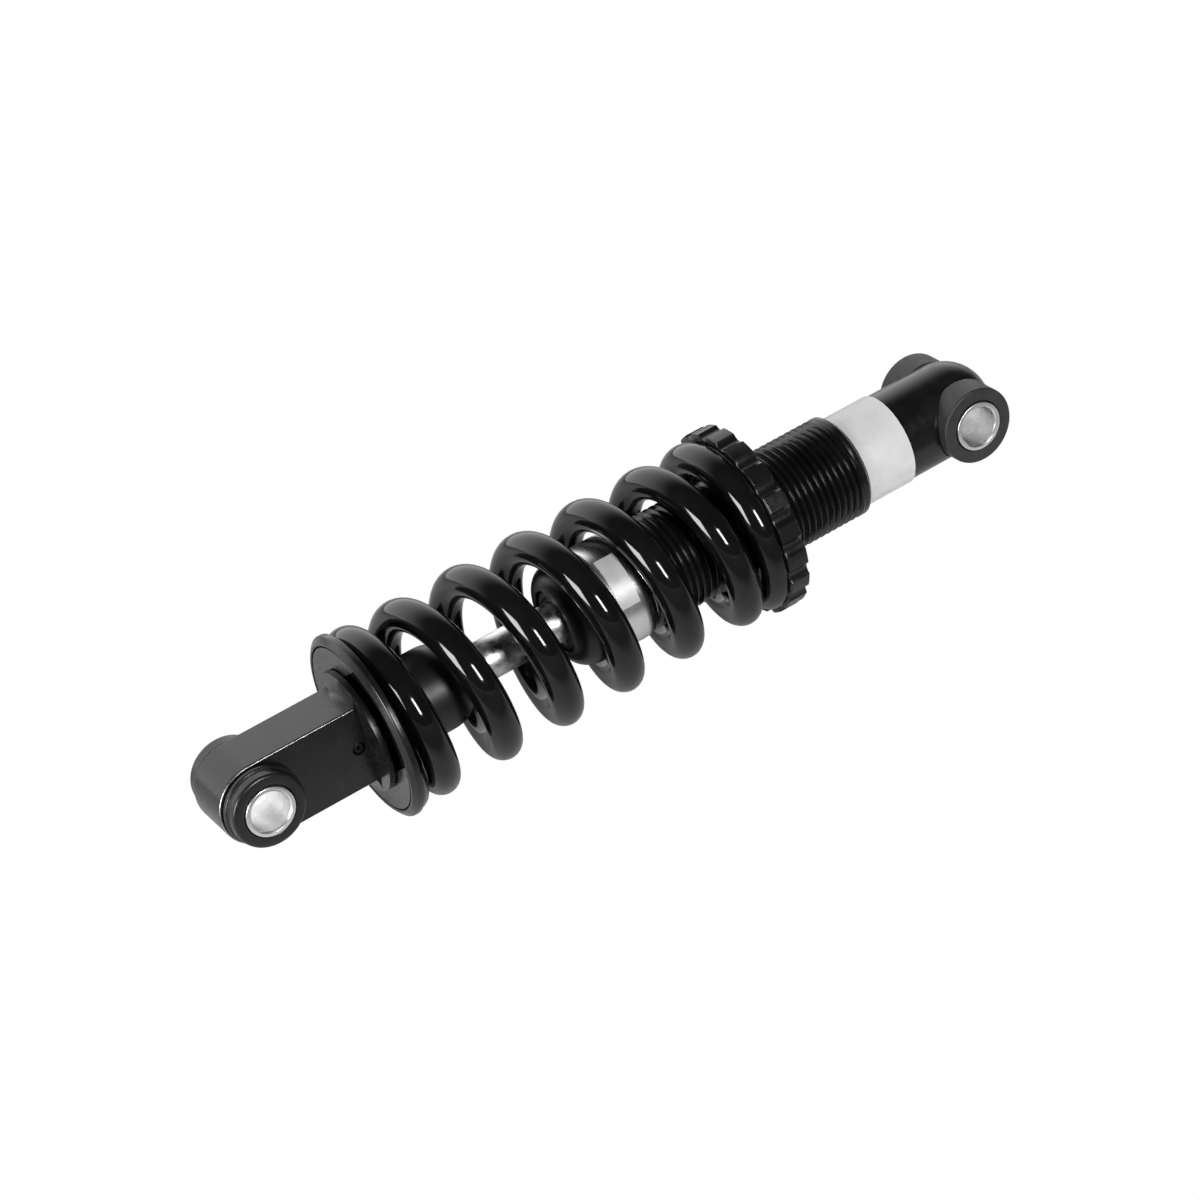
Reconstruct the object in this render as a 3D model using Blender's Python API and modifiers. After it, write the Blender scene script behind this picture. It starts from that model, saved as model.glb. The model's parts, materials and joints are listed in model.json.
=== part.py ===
"""Coil-over rear shock, modelled as its separate pieces.

The origin is the centre of the upper eye. +X runs along the shock from the lower eye
to the upper eye, and both eyes' bolts run along Y. Seen along +X with +Z up, left is
+Y and right is -Y.

Sizes are in millimetres and become metres when a mesh is made. A station is a distance
along the shock, measured from the centre of the lower eye.
"""

import math

import bmesh
import bpy
from mathutils import Matrix

MM = 0.001

# Eyes
EYE_TO_EYE = 165.0
BOLT_BORE = 4.1                 # radius of both sleeves' bores, for an 8 mm bolt
SLEEVE_RADIUS = 5.15
UPPER_EYE_HALF_WIDTH = 12.0
LOWER_EYE_HALF_WIDTH = 10.0
EYE_BORE = 6.3                  # radius of the hole that the bushes sit in
BUSH_SPIGOT = 6.0
UPPER_BUSH_RADIUS = 8.0
LOWER_BUSH_RADIUS = 7.7

# Damper body
THREAD_RADIUS = 10.9            # M22 x 1.5
THREAD_START = 87.5
THREAD_END = 138.7
NECK_RADIUS = 9.5
BODY_BORE = 8.6
BODY_BORE_END = 149.8
UPPER_EYE_THICKNESS = 10.4      # across the two seats that the bush flanges sit on
BODY_LABEL = (139.1, 150.2)

# Head of the damper
CAP_FRONT = 69.4
CAP_BACK = 77.7
CAP_RADIUS = 11.2
HEAD_FRONT = 78.0
HEAD_SHOULDER = 87.2
HEAD_BACK = 92.0
HEAD_RADIUS = 11.3
HEAD_LABEL = (78.9, 83.4)
HEAD_LABEL_ANGLES = (22.5, 78.75)
SEAL_POCKET_END = 82.0

# Shaft and piston
SHAFT_RADIUS = 4.2
SHAFT_FOOT_RADIUS = 3.0         # threaded end in the lower eye
SHAFT_TAIL_RADIUS = 2.5         # threaded end through the piston
SHAFT_FOOT = 10.3
SHAFT_SHOULDER = 96.4
SHAFT_END = 107.0
TUBE_BORE = 7.6
TUBE_RADIUS = 8.3
TUBE_END = 149.5
PISTON = (97.6, 103.6)
PISTON_RADIUS = 7.3

# Lower eye
EYE_BAR_THICKNESS = 11.4
EYE_BAR_HEIGHT = 17.2
SHOULDER_RADIUS = 12.8
SHOULDER = (23.5, 24.7)
FLARE_START = 20.9
SET_SCREW_STATION = 21.6

# Spring and its seats
SEAT_FACE = 27.1
SEAT_RADIUS = 19.45
SEAT_FRONT = 25.0
SEAT_RIM_BORE = 17.7
WASHER_SLOT = 20.4
WASHER_SLOT_ANGLE = 33.0        # degrees from the right-hand side, towards the top
BUMP_STOP_RADIUS = 8.75
BUMP_STOP_END = 46.3
SPRING_START = 27.4
SPRING_END = 111.8
COIL_RADIUS = 15.7
WIRE_RADIUS = 3.35
ACTIVE_PITCH = 14.18
DEAD_PITCH = 4.4                # in the closed coil at each end
TIP_PITCH = 13.0
FIRST_TURN = -1.72              # turns, counted from the top of the first active coil
LAST_TURN = 5.5
FIRST_TIP_STATION = 25.6
POINTS_PER_TURN = 16

# Preload collar
COLLAR = (112.1, 116.6)
COLLAR_RADIUS = 19.9
COLLAR_BORE = 11.2
LOBES = 19
NOTCH_DEPTH = 0.9
THRUST_WASHER = (112.1, 112.9)
THRUST_WASHER_RADIUS = 17.8

GAP = 0.3                       # clearance between neighbouring pieces
LARGE = 32                      # segments of a large turned piece
SMALL = 24

ALONG_SHOCK = (0.0, math.pi / 2, 0.0)
TO_LEFT = (-math.pi / 2, 0.0, 0.0)
TO_RIGHT = (math.pi / 2, 0.0, 0.0)


# Scene

def clear_scene():
    for item in list(bpy.data.objects):
        bpy.data.objects.remove(item, do_unlink=True)


def add_collection(name):
    collection = bpy.data.collections.new(name)
    bpy.context.scene.collection.children.link(collection)
    return collection


def add_material(name, colour, metallic, roughness):
    material = bpy.data.materials.new(name)
    material.use_nodes = True
    shader = material.node_tree.nodes["Principled BSDF"]
    shader.inputs["Base Color"].default_value = (*colour, 1.0)
    shader.inputs["Metallic"].default_value = metallic
    shader.inputs["Roughness"].default_value = roughness
    material.diffuse_color = (*colour, 1.0)
    return material


def add_empty(name, station):
    empty = bpy.data.objects.new(name, None)
    empty.empty_display_size = 10 * MM
    empty.location.x = (station - EYE_TO_EYE) * MM
    parts.objects.link(empty)
    return empty


def add_object(name, mesh, material, parent, rotation=ALONG_SHOCK, collection=None):
    piece = bpy.data.objects.new(name, mesh)
    piece.parent = parent
    piece.rotation_euler = rotation
    if material:
        mesh.materials.append(material)
    (collection or parts).objects.link(piece)
    return piece


# Shapes

def arc(centre, radii, start, end, steps):
    """Points (radius, station) on an ellipse; angles in degrees from the radial direction."""
    angles = [math.radians(start + (end - start) * i / steps) for i in range(steps + 1)]
    return [(centre[0] + radii[0] * math.cos(a), centre[1] + radii[1] * math.sin(a)) for a in angles]


def ring(low, high, inner, outer, chamfer=0.0):
    """Profile of a ring: down its outer side, and back up its bore."""
    if not chamfer:
        return [(outer, high), (outer, low), (inner, low), (inner, high)]
    return [
        (outer - chamfer, high), (outer, high - chamfer), (outer, low + chamfer),
        (outer - chamfer, low), (inner, low), (inner, high),
    ]


def turned(name, profile, material, parent, rotation=ALONG_SHOCK, segments=LARGE, collection=None):
    """A body of revolution about its own Z. A profile that starts on the axis stays open."""
    mesh = bpy.data.meshes.new(name)
    points = [(radius * MM, 0.0, station * MM) for radius, station in profile]
    edges = [(i, i + 1) for i in range(len(points) - 1)]
    if profile[0][0] > 0.001:
        edges.append((len(points) - 1, 0))
    mesh.from_pydata(points, edges, [])
    piece = add_object(name, mesh, material, parent, rotation, collection)
    screw = piece.modifiers.new("turn", "SCREW")
    screw.axis = "Z"
    screw.steps = segments
    screw.render_steps = segments
    screw.use_merge_vertices = True
    screw.merge_threshold = 0.000001
    screw.use_smooth_shade = True
    return piece


def outline_mesh(name, loops, thickness):
    """A flat outline in its own XY plane, given a thickness along Z, as a welded mesh."""
    curve = bpy.data.curves.new(name, "CURVE")
    curve.dimensions = "2D"
    curve.fill_mode = "BOTH"
    curve.extrude = thickness / 2 * MM
    for loop in loops:
        spline = curve.splines.new("POLY")
        spline.points.add(len(loop) - 1)
        for point, (x, y) in zip(spline.points, loop):
            point.co = (x * MM, y * MM, 0.0, 1.0)
        spline.use_cyclic_u = True
    return mesh_of_curve(name, curve)


def mesh_of_curve(name, curve):
    """The curve's mesh, with its loose caps welded on."""
    holder = bpy.data.objects.new(name + "_curve", curve)
    parts.objects.link(holder)
    evaluated = holder.evaluated_get(bpy.context.evaluated_depsgraph_get())
    mesh = bpy.data.meshes.new_from_object(evaluated)
    mesh.name = name
    bpy.data.objects.remove(holder, do_unlink=True)
    welded = bmesh.new()
    welded.from_mesh(mesh)
    bmesh.ops.remove_doubles(welded, verts=welded.verts, dist=0.000001)
    bmesh.ops.recalc_face_normals(welded, faces=welded.faces)
    welded.to_mesh(mesh)
    welded.free()
    return mesh


def hide_cutter(cutter):
    cutter.hide_render = True
    cutter.display_type = "WIRE"
    return cutter


def round_cutter(name, low, high, radius, parent, rotation, segments=SMALL, offset=(0.0, 0.0)):
    """A cylinder along the cutter's own Z, its axis moved sideways by the offset."""
    mesh = bpy.data.meshes.new(name)
    solid = bmesh.new()
    bmesh.ops.create_cone(
        solid, cap_ends=True, segments=segments, radius1=radius * MM, radius2=radius * MM,
        depth=(high - low) * MM,
    )
    bmesh.ops.translate(
        solid, verts=solid.verts, vec=(offset[0] * MM, offset[1] * MM, (low + high) / 2 * MM)
    )
    solid.to_mesh(mesh)
    solid.free()
    return hide_cutter(add_object(name, mesh, None, parent, rotation, cutters))


def box_cutter(name, size, centre, turn, parent, rotation):
    """A box, its centre given before the box is turned by an angle about the cutter's own Z."""
    mesh = bpy.data.meshes.new(name)
    solid = bmesh.new()
    bmesh.ops.create_cube(solid, size=1.0)
    bmesh.ops.scale(solid, verts=solid.verts, vec=[length * MM for length in size])
    bmesh.ops.translate(solid, verts=solid.verts, vec=[length * MM for length in centre])
    bmesh.ops.rotate(solid, verts=solid.verts, cent=(0.0, 0.0, 0.0), matrix=Matrix.Rotation(turn, 3, "Z"))
    solid.to_mesh(mesh)
    solid.free()
    return hide_cutter(add_object(name, mesh, None, parent, rotation, cutters))


def combine(piece, other, operation):
    boolean = piece.modifiers.new(other.name, "BOOLEAN")
    boolean.operation = operation
    boolean.solver = "EXACT"
    boolean.object = other


# Upper eye and damper body

def damper_body():
    dome = arc((0.0, EYE_TO_EYE), (NECK_RADIUS, NECK_RADIUS), 90.0, 0.0, 6)
    chamfer = 0.6
    profile = dome + [
        (NECK_RADIUS, THREAD_END),
        (THREAD_RADIUS - chamfer, THREAD_END), (THREAD_RADIUS, THREAD_END - chamfer),
        (THREAD_RADIUS, THREAD_START + chamfer), (THREAD_RADIUS - chamfer, THREAD_START),
        (BODY_BORE, THREAD_START), (BODY_BORE, BODY_BORE_END), (0.0, BODY_BORE_END + 1.7),
    ]
    body = turned("damper_body", profile, black_metal, lower_centre)
    bore = round_cutter("upper_eye_bore", -20.0, 20.0, EYE_BORE, upper_centre, TO_LEFT)
    combine(body, bore, "DIFFERENCE")
    for side, rotation in (("left", TO_LEFT), ("right", TO_RIGHT)):
        seat = round_cutter(
            "flange_seat_" + side, UPPER_EYE_THICKNESS / 2, 20.0, UPPER_BUSH_RADIUS + GAP,
            upper_centre, rotation,
        )
        combine(body, seat, "DIFFERENCE")


def body_label():
    low, high = BODY_LABEL
    turned("body_label", ring(low, high, NECK_RADIUS + 0.15, NECK_RADIUS + 0.4), white_film, lower_centre)


def eye_sleeve(name, half_width, centre):
    profile = ring(-half_width, half_width, BOLT_BORE, SLEEVE_RADIUS, 0.3)
    turned(name, profile, bright_steel, centre, TO_LEFT, SMALL)


def upper_bush(side, rotation):
    face = UPPER_EYE_HALF_WIDTH - GAP
    flange = UPPER_EYE_THICKNESS / 2 + GAP
    bore = SLEEVE_RADIUS + GAP
    profile = [
        (UPPER_BUSH_RADIUS - 0.4, face), (UPPER_BUSH_RADIUS, face - 0.4), (UPPER_BUSH_RADIUS, flange),
        (BUSH_SPIGOT, flange), (BUSH_SPIGOT, GAP), (bore, GAP), (bore, face),
    ]
    turned("upper_bush_" + side, profile, black_rubber, upper_centre, rotation, SMALL)


# Head of the damper

def gland_cap():
    dome_length = 5.1
    face_radius = 7.2
    recess = 6.7
    recess_end = 72.5
    bore = SHAFT_RADIUS + 0.4
    dome = arc(
        (face_radius, CAP_FRONT + dome_length), (CAP_RADIUS - face_radius, dome_length), 0.0, -90.0, 5
    )
    profile = [(CAP_RADIUS, CAP_BACK)] + dome + [
        (recess, CAP_FRONT), (recess, recess_end), (bore, recess_end), (bore, CAP_BACK),
    ]
    turned("gland_cap", profile, black_metal, lower_centre)


def wiper_seal():
    profile = [(6.4, 72.2), (6.4, 70.2), (6.0, 69.8), (5.0, 69.8), (4.45, 70.6), (4.45, 72.2)]
    turned("wiper_seal", profile, black_rubber, lower_centre, segments=SMALL)


def head_housing():
    edge = 3.3
    groove = (88.9, 90.5)
    groove_radius = 7.15
    guide_bore = 6.0
    pocket = 7.0
    shoulder = arc((HEAD_RADIUS - 1.0, HEAD_SHOULDER - edge), (1.0, edge), 90.0, 0.0, 3)
    profile = [
        (TUBE_RADIUS, HEAD_BACK), (TUBE_RADIUS, groove[1]), (groove_radius, groove[1]),
        (groove_radius, groove[0]), (TUBE_RADIUS, groove[0]), (TUBE_RADIUS, HEAD_SHOULDER),
    ] + shoulder + [
        (HEAD_RADIUS, HEAD_FRONT), (pocket, HEAD_FRONT), (pocket, SEAL_POCKET_END),
        (guide_bore, SEAL_POCKET_END), (guide_bore, HEAD_BACK),
    ]
    turned("head_housing", profile, bright_aluminium, lower_centre)


def head_label():
    """A sheet on the head's right upper side. Its angles are from the top towards the right."""
    low, high = HEAD_LABEL
    first, last = HEAD_LABEL_ANGLES
    steps = 5
    angles = [math.radians(first + (last - first) * i / steps) for i in range(steps + 1)]
    outer = HEAD_RADIUS + 0.25
    inner = HEAD_RADIUS + 0.12
    loop = [(-outer * math.cos(a), -outer * math.sin(a)) for a in angles]
    loop += [(-inner * math.cos(a), -inner * math.sin(a)) for a in reversed(angles)]
    mesh = outline_mesh("head_label", [loop], high - low)
    label = add_object("head_label", mesh, white_film, lower_centre)
    label.location.x = (low + high) / 2 * MM


def shaft_seal():
    profile = [
        (6.7, 81.6), (6.7, 78.5), (5.6, 78.5), (5.6, 79.6), (4.9, 79.6), (4.45, 79.0), (4.45, 81.6),
    ]
    turned("shaft_seal", profile, black_rubber, lower_centre, segments=SMALL)


def guide_bush():
    turned("guide_bush", ring(82.5, 91.7, 4.45, 5.7, 0.3), bronze, lower_centre, segments=SMALL)


def head_o_ring():
    cord = 0.5
    circle = arc((7.95, 89.7), (cord, cord), 90.0, -270.0, 6)[:-1]
    turned("head_o_ring", circle, black_rubber, lower_centre, segments=SMALL)


def inner_tube():
    profile = ring(HEAD_BACK + GAP, TUBE_END, TUBE_BORE, TUBE_RADIUS)
    turned("inner_tube", profile, plain_steel, lower_centre)


# Shaft assembly

def shaft():
    foot = SHOULDER[1] + GAP
    profile = [
        (0.0, SHAFT_END), (SHAFT_TAIL_RADIUS - 0.3, SHAFT_END), (SHAFT_TAIL_RADIUS, SHAFT_END - 0.3),
        (SHAFT_TAIL_RADIUS, SHAFT_SHOULDER), (SHAFT_RADIUS - 0.4, SHAFT_SHOULDER),
        (SHAFT_RADIUS, SHAFT_SHOULDER - 0.4), (SHAFT_RADIUS, foot), (SHAFT_FOOT_RADIUS, foot),
        (SHAFT_FOOT_RADIUS, SHAFT_FOOT + 0.3), (SHAFT_FOOT_RADIUS - 0.3, SHAFT_FOOT), (0.0, SHAFT_FOOT),
    ]
    turned("shaft", profile, chrome, swivel_axis, segments=SMALL)


def top_out_rubber():
    profile = ring(HEAD_BACK + GAP, SHAFT_SHOULDER - GAP, SHAFT_RADIUS + GAP, 7.0, 0.4)
    turned("top_out_rubber", profile, black_rubber, swivel_axis, segments=SMALL)


def rebound_shim():
    profile = ring(SHAFT_SHOULDER + GAP, PISTON[0] - GAP, SHAFT_TAIL_RADIUS + GAP, 6.4)
    turned("rebound_shim", profile, plain_steel, swivel_axis, segments=SMALL)


def piston():
    groove_radius = 6.5
    groove = (99.0, 102.2)
    low, high = PISTON
    bore = SHAFT_TAIL_RADIUS + GAP
    profile = [
        (PISTON_RADIUS, high), (PISTON_RADIUS, groove[1]), (groove_radius, groove[1]),
        (groove_radius, groove[0]), (PISTON_RADIUS, groove[0]), (PISTON_RADIUS, low),
        (bore, low), (bore, high),
    ]
    body = turned("piston", profile, bright_aluminium, swivel_axis, segments=SMALL)
    port_circle = 4.6
    for i in range(4):
        angle = math.radians(45 + 90 * i)
        offset = (port_circle * math.cos(angle), port_circle * math.sin(angle))
        port = round_cutter(
            f"piston_port_{i + 1}", low - 5.0, high + 5.0, 0.8, swivel_axis, ALONG_SHOCK, 10, offset
        )
        combine(body, port, "DIFFERENCE")


def piston_ring():
    turned("piston_ring", ring(99.4, 101.8, 6.85, 7.45), bronze, swivel_axis, segments=SMALL)


def piston_nut():
    low, high = PISTON[1] + GAP, SHAFT_END - 0.4
    corner_radius = 4.9
    mesh = bpy.data.meshes.new("piston_nut")
    solid = bmesh.new()
    bmesh.ops.create_cone(
        solid, cap_ends=True, segments=6, radius1=corner_radius * MM, radius2=corner_radius * MM,
        depth=(high - low) * MM,
    )
    bmesh.ops.translate(solid, verts=solid.verts, vec=(0.0, 0.0, (low + high) / 2 * MM))
    solid.to_mesh(mesh)
    solid.free()
    nut = add_object("piston_nut", mesh, plain_steel, swivel_axis)
    hole = round_cutter(
        "nut_hole", low - 5.0, high + 5.0, SHAFT_TAIL_RADIUS + GAP, swivel_axis, ALONG_SHOCK, 20
    )
    combine(nut, hole, "DIFFERENCE")


def bump_stop():
    nose_length = 5.0
    nose_radius = 6.2
    low = SHOULDER[1] + GAP
    bore = SHAFT_RADIUS + GAP
    nose = arc(
        (nose_radius, BUMP_STOP_END - nose_length), (BUMP_STOP_RADIUS - nose_radius, nose_length),
        90.0, 0.0, 4,
    )
    profile = nose + [
        (BUMP_STOP_RADIUS, low + 0.5), (BUMP_STOP_RADIUS - 0.5, low), (bore, low), (bore, BUMP_STOP_END),
    ]
    turned("bump_stop", profile, black_rubber, swivel_axis, segments=SMALL)


# Lower eye

def eye_bar_mesh():
    """The flat bar with its end rounded about the eye, extruded across its thickness."""
    radius = EYE_BAR_HEIGHT / 2
    outline = arc((0.0, 0.0), (radius, radius), 90.0, 270.0, 14)
    bar_end = sum(SHOULDER) / 2
    outline += [(bar_end, -radius), (bar_end, radius)]
    return outline_mesh("lower_eye", [outline], EYE_BAR_THICKNESS)


def eye_flare():
    """The fillet between the bar and its round shoulder, milled flat on both sides with the bar."""
    low, high = FLARE_START, sum(SHOULDER) / 2
    foot = EYE_BAR_HEIGHT / 2 - 0.1
    edge = SHOULDER_RADIUS - 0.2
    fillet = arc((edge, low), (edge - foot, SHOULDER[0] - low), 90.0, 180.0, 3)
    profile = [(0.0, high), (edge, high)] + fillet + [(0.0, low)]
    flare = turned("eye_flare", profile, None, swivel_axis, collection=cutters)
    thickness = EYE_BAR_THICKNESS - 0.1
    slab = box_cutter(
        "flare_flats", (60.0, thickness, 60.0), (0.0, 0.0, 0.0), 0.0, swivel_axis, ALONG_SHOCK
    )
    combine(flare, slab, "INTERSECT")
    return hide_cutter(flare)


def lower_eye():
    eye = add_object("lower_eye", eye_bar_mesh(), black_metal, swivel_axis, TO_LEFT)
    bevel = eye.modifiers.new("edges", "BEVEL")
    bevel.width = 0.5 * MM
    bevel.segments = 1
    bevel.limit_method = "ANGLE"
    bevel.angle_limit = math.radians(40)
    combine(eye, eye_flare(), "UNION")
    shoulder = round_cutter("eye_shoulder", *SHOULDER, SHOULDER_RADIUS, swivel_axis, ALONG_SHOCK, LARGE)
    combine(eye, shoulder, "UNION")
    bore = round_cutter("lower_eye_bore", -20.0, 20.0, EYE_BORE, swivel_axis, TO_LEFT)
    combine(eye, bore, "DIFFERENCE")
    socket = round_cutter(
        "shaft_socket", SHAFT_FOOT - GAP, 30.0, SHAFT_FOOT_RADIUS + GAP, swivel_axis, ALONG_SHOCK, 20
    )
    combine(eye, socket, "DIFFERENCE")
    screw_hole = round_cutter(
        "set_screw_hole", 2.0, 20.0, 1.4, swivel_axis, TO_RIGHT, 16, (SET_SCREW_STATION, 0.0)
    )
    combine(eye, screw_hole, "DIFFERENCE")


def set_screw():
    """A grub screw with a hexagon socket, radial in the eye, its foot just off the shaft."""
    foot = SHAFT_FOOT_RADIUS + GAP
    top = EYE_BAR_THICKNESS / 2 - 0.3
    profile = [(0.0, top), (0.9, top), (1.1, top - 0.2), (1.1, foot + 0.2), (0.9, foot), (0.0, foot)]
    screw = turned("set_screw", profile, plain_steel, swivel_axis, TO_RIGHT, 16)
    screw.location.x = SET_SCREW_STATION * MM
    key_hole = round_cutter(
        "set_screw_socket", top - 1.2, top + 2.0, 0.6, swivel_axis, TO_RIGHT, 6, (SET_SCREW_STATION, 0.0)
    )
    combine(screw, key_hole, "DIFFERENCE")


def lower_bush(side, rotation):
    face = LOWER_EYE_HALF_WIDTH - GAP
    flange = EYE_BAR_THICKNESS / 2 + GAP
    step = 7.2
    bore = SLEEVE_RADIUS + GAP
    profile = [
        (LOWER_BUSH_RADIUS - 0.4, face), (LOWER_BUSH_RADIUS, face - 0.4), (LOWER_BUSH_RADIUS, step),
        (LOWER_BUSH_RADIUS + 0.4, step - 0.2), (LOWER_BUSH_RADIUS + 0.4, flange),
        (BUSH_SPIGOT, flange), (BUSH_SPIGOT, GAP), (bore, GAP), (bore, face),
    ]
    turned("lower_bush_" + side, profile, black_rubber, swivel_axis, rotation, SMALL)


# Spring and its seats

def spring_seat():
    bevel = 0.8
    plate_front = 26.4
    profile = [
        (SEAT_RADIUS, SEAT_FACE), (SEAT_RADIUS, SEAT_FRONT + bevel), (SEAT_RADIUS - 1.2, SEAT_FRONT),
        (SEAT_RIM_BORE, SEAT_FRONT), (SEAT_RIM_BORE, plate_front),
        (BUMP_STOP_RADIUS + 0.4, plate_front), (BUMP_STOP_RADIUS + 0.4, SEAT_FACE),
    ]
    turned("spring_seat", profile, black_metal, seat_axis)


def retaining_washer():
    low, high = 25.05, 26.1
    washer = turned(
        "retaining_washer", ring(low, high, WASHER_SLOT / 2, SEAT_RIM_BORE - GAP), black_metal, seat_axis
    )
    length = 2 * SEAT_RADIUS
    # A cutter laid along the shock has its own X pointing down and its own Y to the left.
    turn = math.radians(-90.0 - WASHER_SLOT_ANGLE)
    slot = box_cutter(
        "washer_slot", (length, WASHER_SLOT, 6.0), (length / 2, 0.0, low), turn, seat_axis, ALONG_SHOCK
    )
    combine(washer, slot, "DIFFERENCE")


def pitch_at(turn):
    """The pitch falls from the active coils to the closed coil, and rises again at the tip."""
    from_tip = min(turn - FIRST_TURN, LAST_TURN - turn)
    stages = (
        (0.0, TIP_PITCH), (0.10, TIP_PITCH), (0.35, DEAD_PITCH), (0.78, DEAD_PITCH), (1.07, ACTIVE_PITCH),
    )
    for (start, low), (end, high) in zip(stages, stages[1:]):
        if from_tip <= end:
            return low + (high - low) * (from_tip - start) / (end - start)
    return ACTIVE_PITCH


def spring():
    """A right-handed helix with a closed coil at each end, both ends ground flat."""
    count = round((LAST_TURN - FIRST_TURN) * POINTS_PER_TURN)
    step = (LAST_TURN - FIRST_TURN) / count
    curve = bpy.data.curves.new("spring", "CURVE")
    curve.dimensions = "3D"
    curve.bevel_depth = WIRE_RADIUS * MM
    curve.bevel_resolution = 2
    curve.use_fill_caps = True
    helix = curve.splines.new("POLY")
    helix.points.add(count)
    station = FIRST_TIP_STATION
    for i, point in enumerate(helix.points):
        turn = FIRST_TURN + i * step
        angle = 2 * math.pi * turn
        x = -COIL_RADIUS * math.cos(angle)
        y = -COIL_RADIUS * math.sin(angle)
        point.co = (x * MM, y * MM, station * MM, 1.0)
        station += pitch_at(turn + step / 2) * step
    coil = add_object("spring", mesh_of_curve("spring", curve), black_gloss, seat_axis)
    coil.data.shade_smooth()
    slab = round_cutter("ground_ends", SPRING_START, SPRING_END, 25.0, seat_axis, ALONG_SHOCK)
    combine(coil, slab, "INTERSECT")


def thrust_washer():
    low, high = THRUST_WASHER
    profile = ring(low, high, COLLAR_BORE + 0.1, THRUST_WASHER_RADIUS)
    turned("thrust_washer", profile, plain_steel, collar_axis)


def preload_collar():
    steps_per_lobe = 6
    count = LOBES * steps_per_lobe
    outer = []
    for i in range(count):
        angle = 2 * math.pi * i / count
        dip = max(0.0, math.cos(angle * LOBES))
        radius = COLLAR_RADIUS - NOTCH_DEPTH * math.sqrt(dip)
        outer.append((radius * math.cos(angle), radius * math.sin(angle)))
    inner = []
    for i in range(LARGE):
        angle = 2 * math.pi * i / LARGE
        inner.append((COLLAR_BORE * math.cos(angle), COLLAR_BORE * math.sin(angle)))
    low, high = COLLAR
    mesh = outline_mesh("preload_collar", [outer, inner], high - low)
    collar = add_object("preload_collar", mesh, black_metal, collar_axis)
    collar.location.x = (low + high) / 2 * MM
    pocket = round_cutter(
        "washer_pocket", low - 5.0, THRUST_WASHER[1] + GAP, THRUST_WASHER_RADIUS + GAP, collar_axis,
        ALONG_SHOCK, LARGE,
    )
    combine(collar, pocket, "DIFFERENCE")


clear_scene()
parts = add_collection("rear_shock")
cutters = add_collection("cutters")

black_metal = add_material("black_metal", (0.012, 0.012, 0.013), 0.0, 0.35)
black_gloss = add_material("black_gloss", (0.006, 0.006, 0.007), 0.0, 0.12)
black_rubber = add_material("black_rubber", (0.020, 0.020, 0.021), 0.0, 0.60)
chrome = add_material("chrome", (0.75, 0.75, 0.77), 1.0, 0.15)
bright_steel = add_material("bright_steel", (0.70, 0.70, 0.71), 1.0, 0.25)
bright_aluminium = add_material("bright_aluminium", (0.80, 0.80, 0.81), 1.0, 0.20)
plain_steel = add_material("plain_steel", (0.45, 0.45, 0.46), 1.0, 0.35)
bronze = add_material("bronze", (0.50, 0.33, 0.16), 1.0, 0.40)
white_film = add_material("white_film", (0.80, 0.80, 0.80), 0.0, 0.35)

upper_centre = add_empty("upper_eye_centre", EYE_TO_EYE)
lower_centre = add_empty("lower_eye_centre", 0.0)
seat_axis = add_empty("seat_axis", 0.0)
swivel_axis = add_empty("swivel_axis", 0.0)
collar_axis = add_empty("collar_axis", 0.0)

damper_body()
body_label()
for bush_side, bush_rotation in (("left", TO_LEFT), ("right", TO_RIGHT)):
    upper_bush(bush_side, bush_rotation)
    lower_bush(bush_side, bush_rotation)
eye_sleeve("upper_sleeve", UPPER_EYE_HALF_WIDTH, upper_centre)
eye_sleeve("lower_sleeve", LOWER_EYE_HALF_WIDTH, lower_centre)
gland_cap()
wiper_seal()
head_housing()
head_label()
shaft_seal()
guide_bush()
head_o_ring()
inner_tube()
shaft()
top_out_rubber()
rebound_shim()
piston()
piston_ring()
piston_nut()
bump_stop()
lower_eye()
set_screw()
spring_seat()
retaining_washer()
spring()
thrust_washer()
preload_collar()
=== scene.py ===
import json
import math

import bmesh
import bpy
from mathutils import Matrix, Vector

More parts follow.
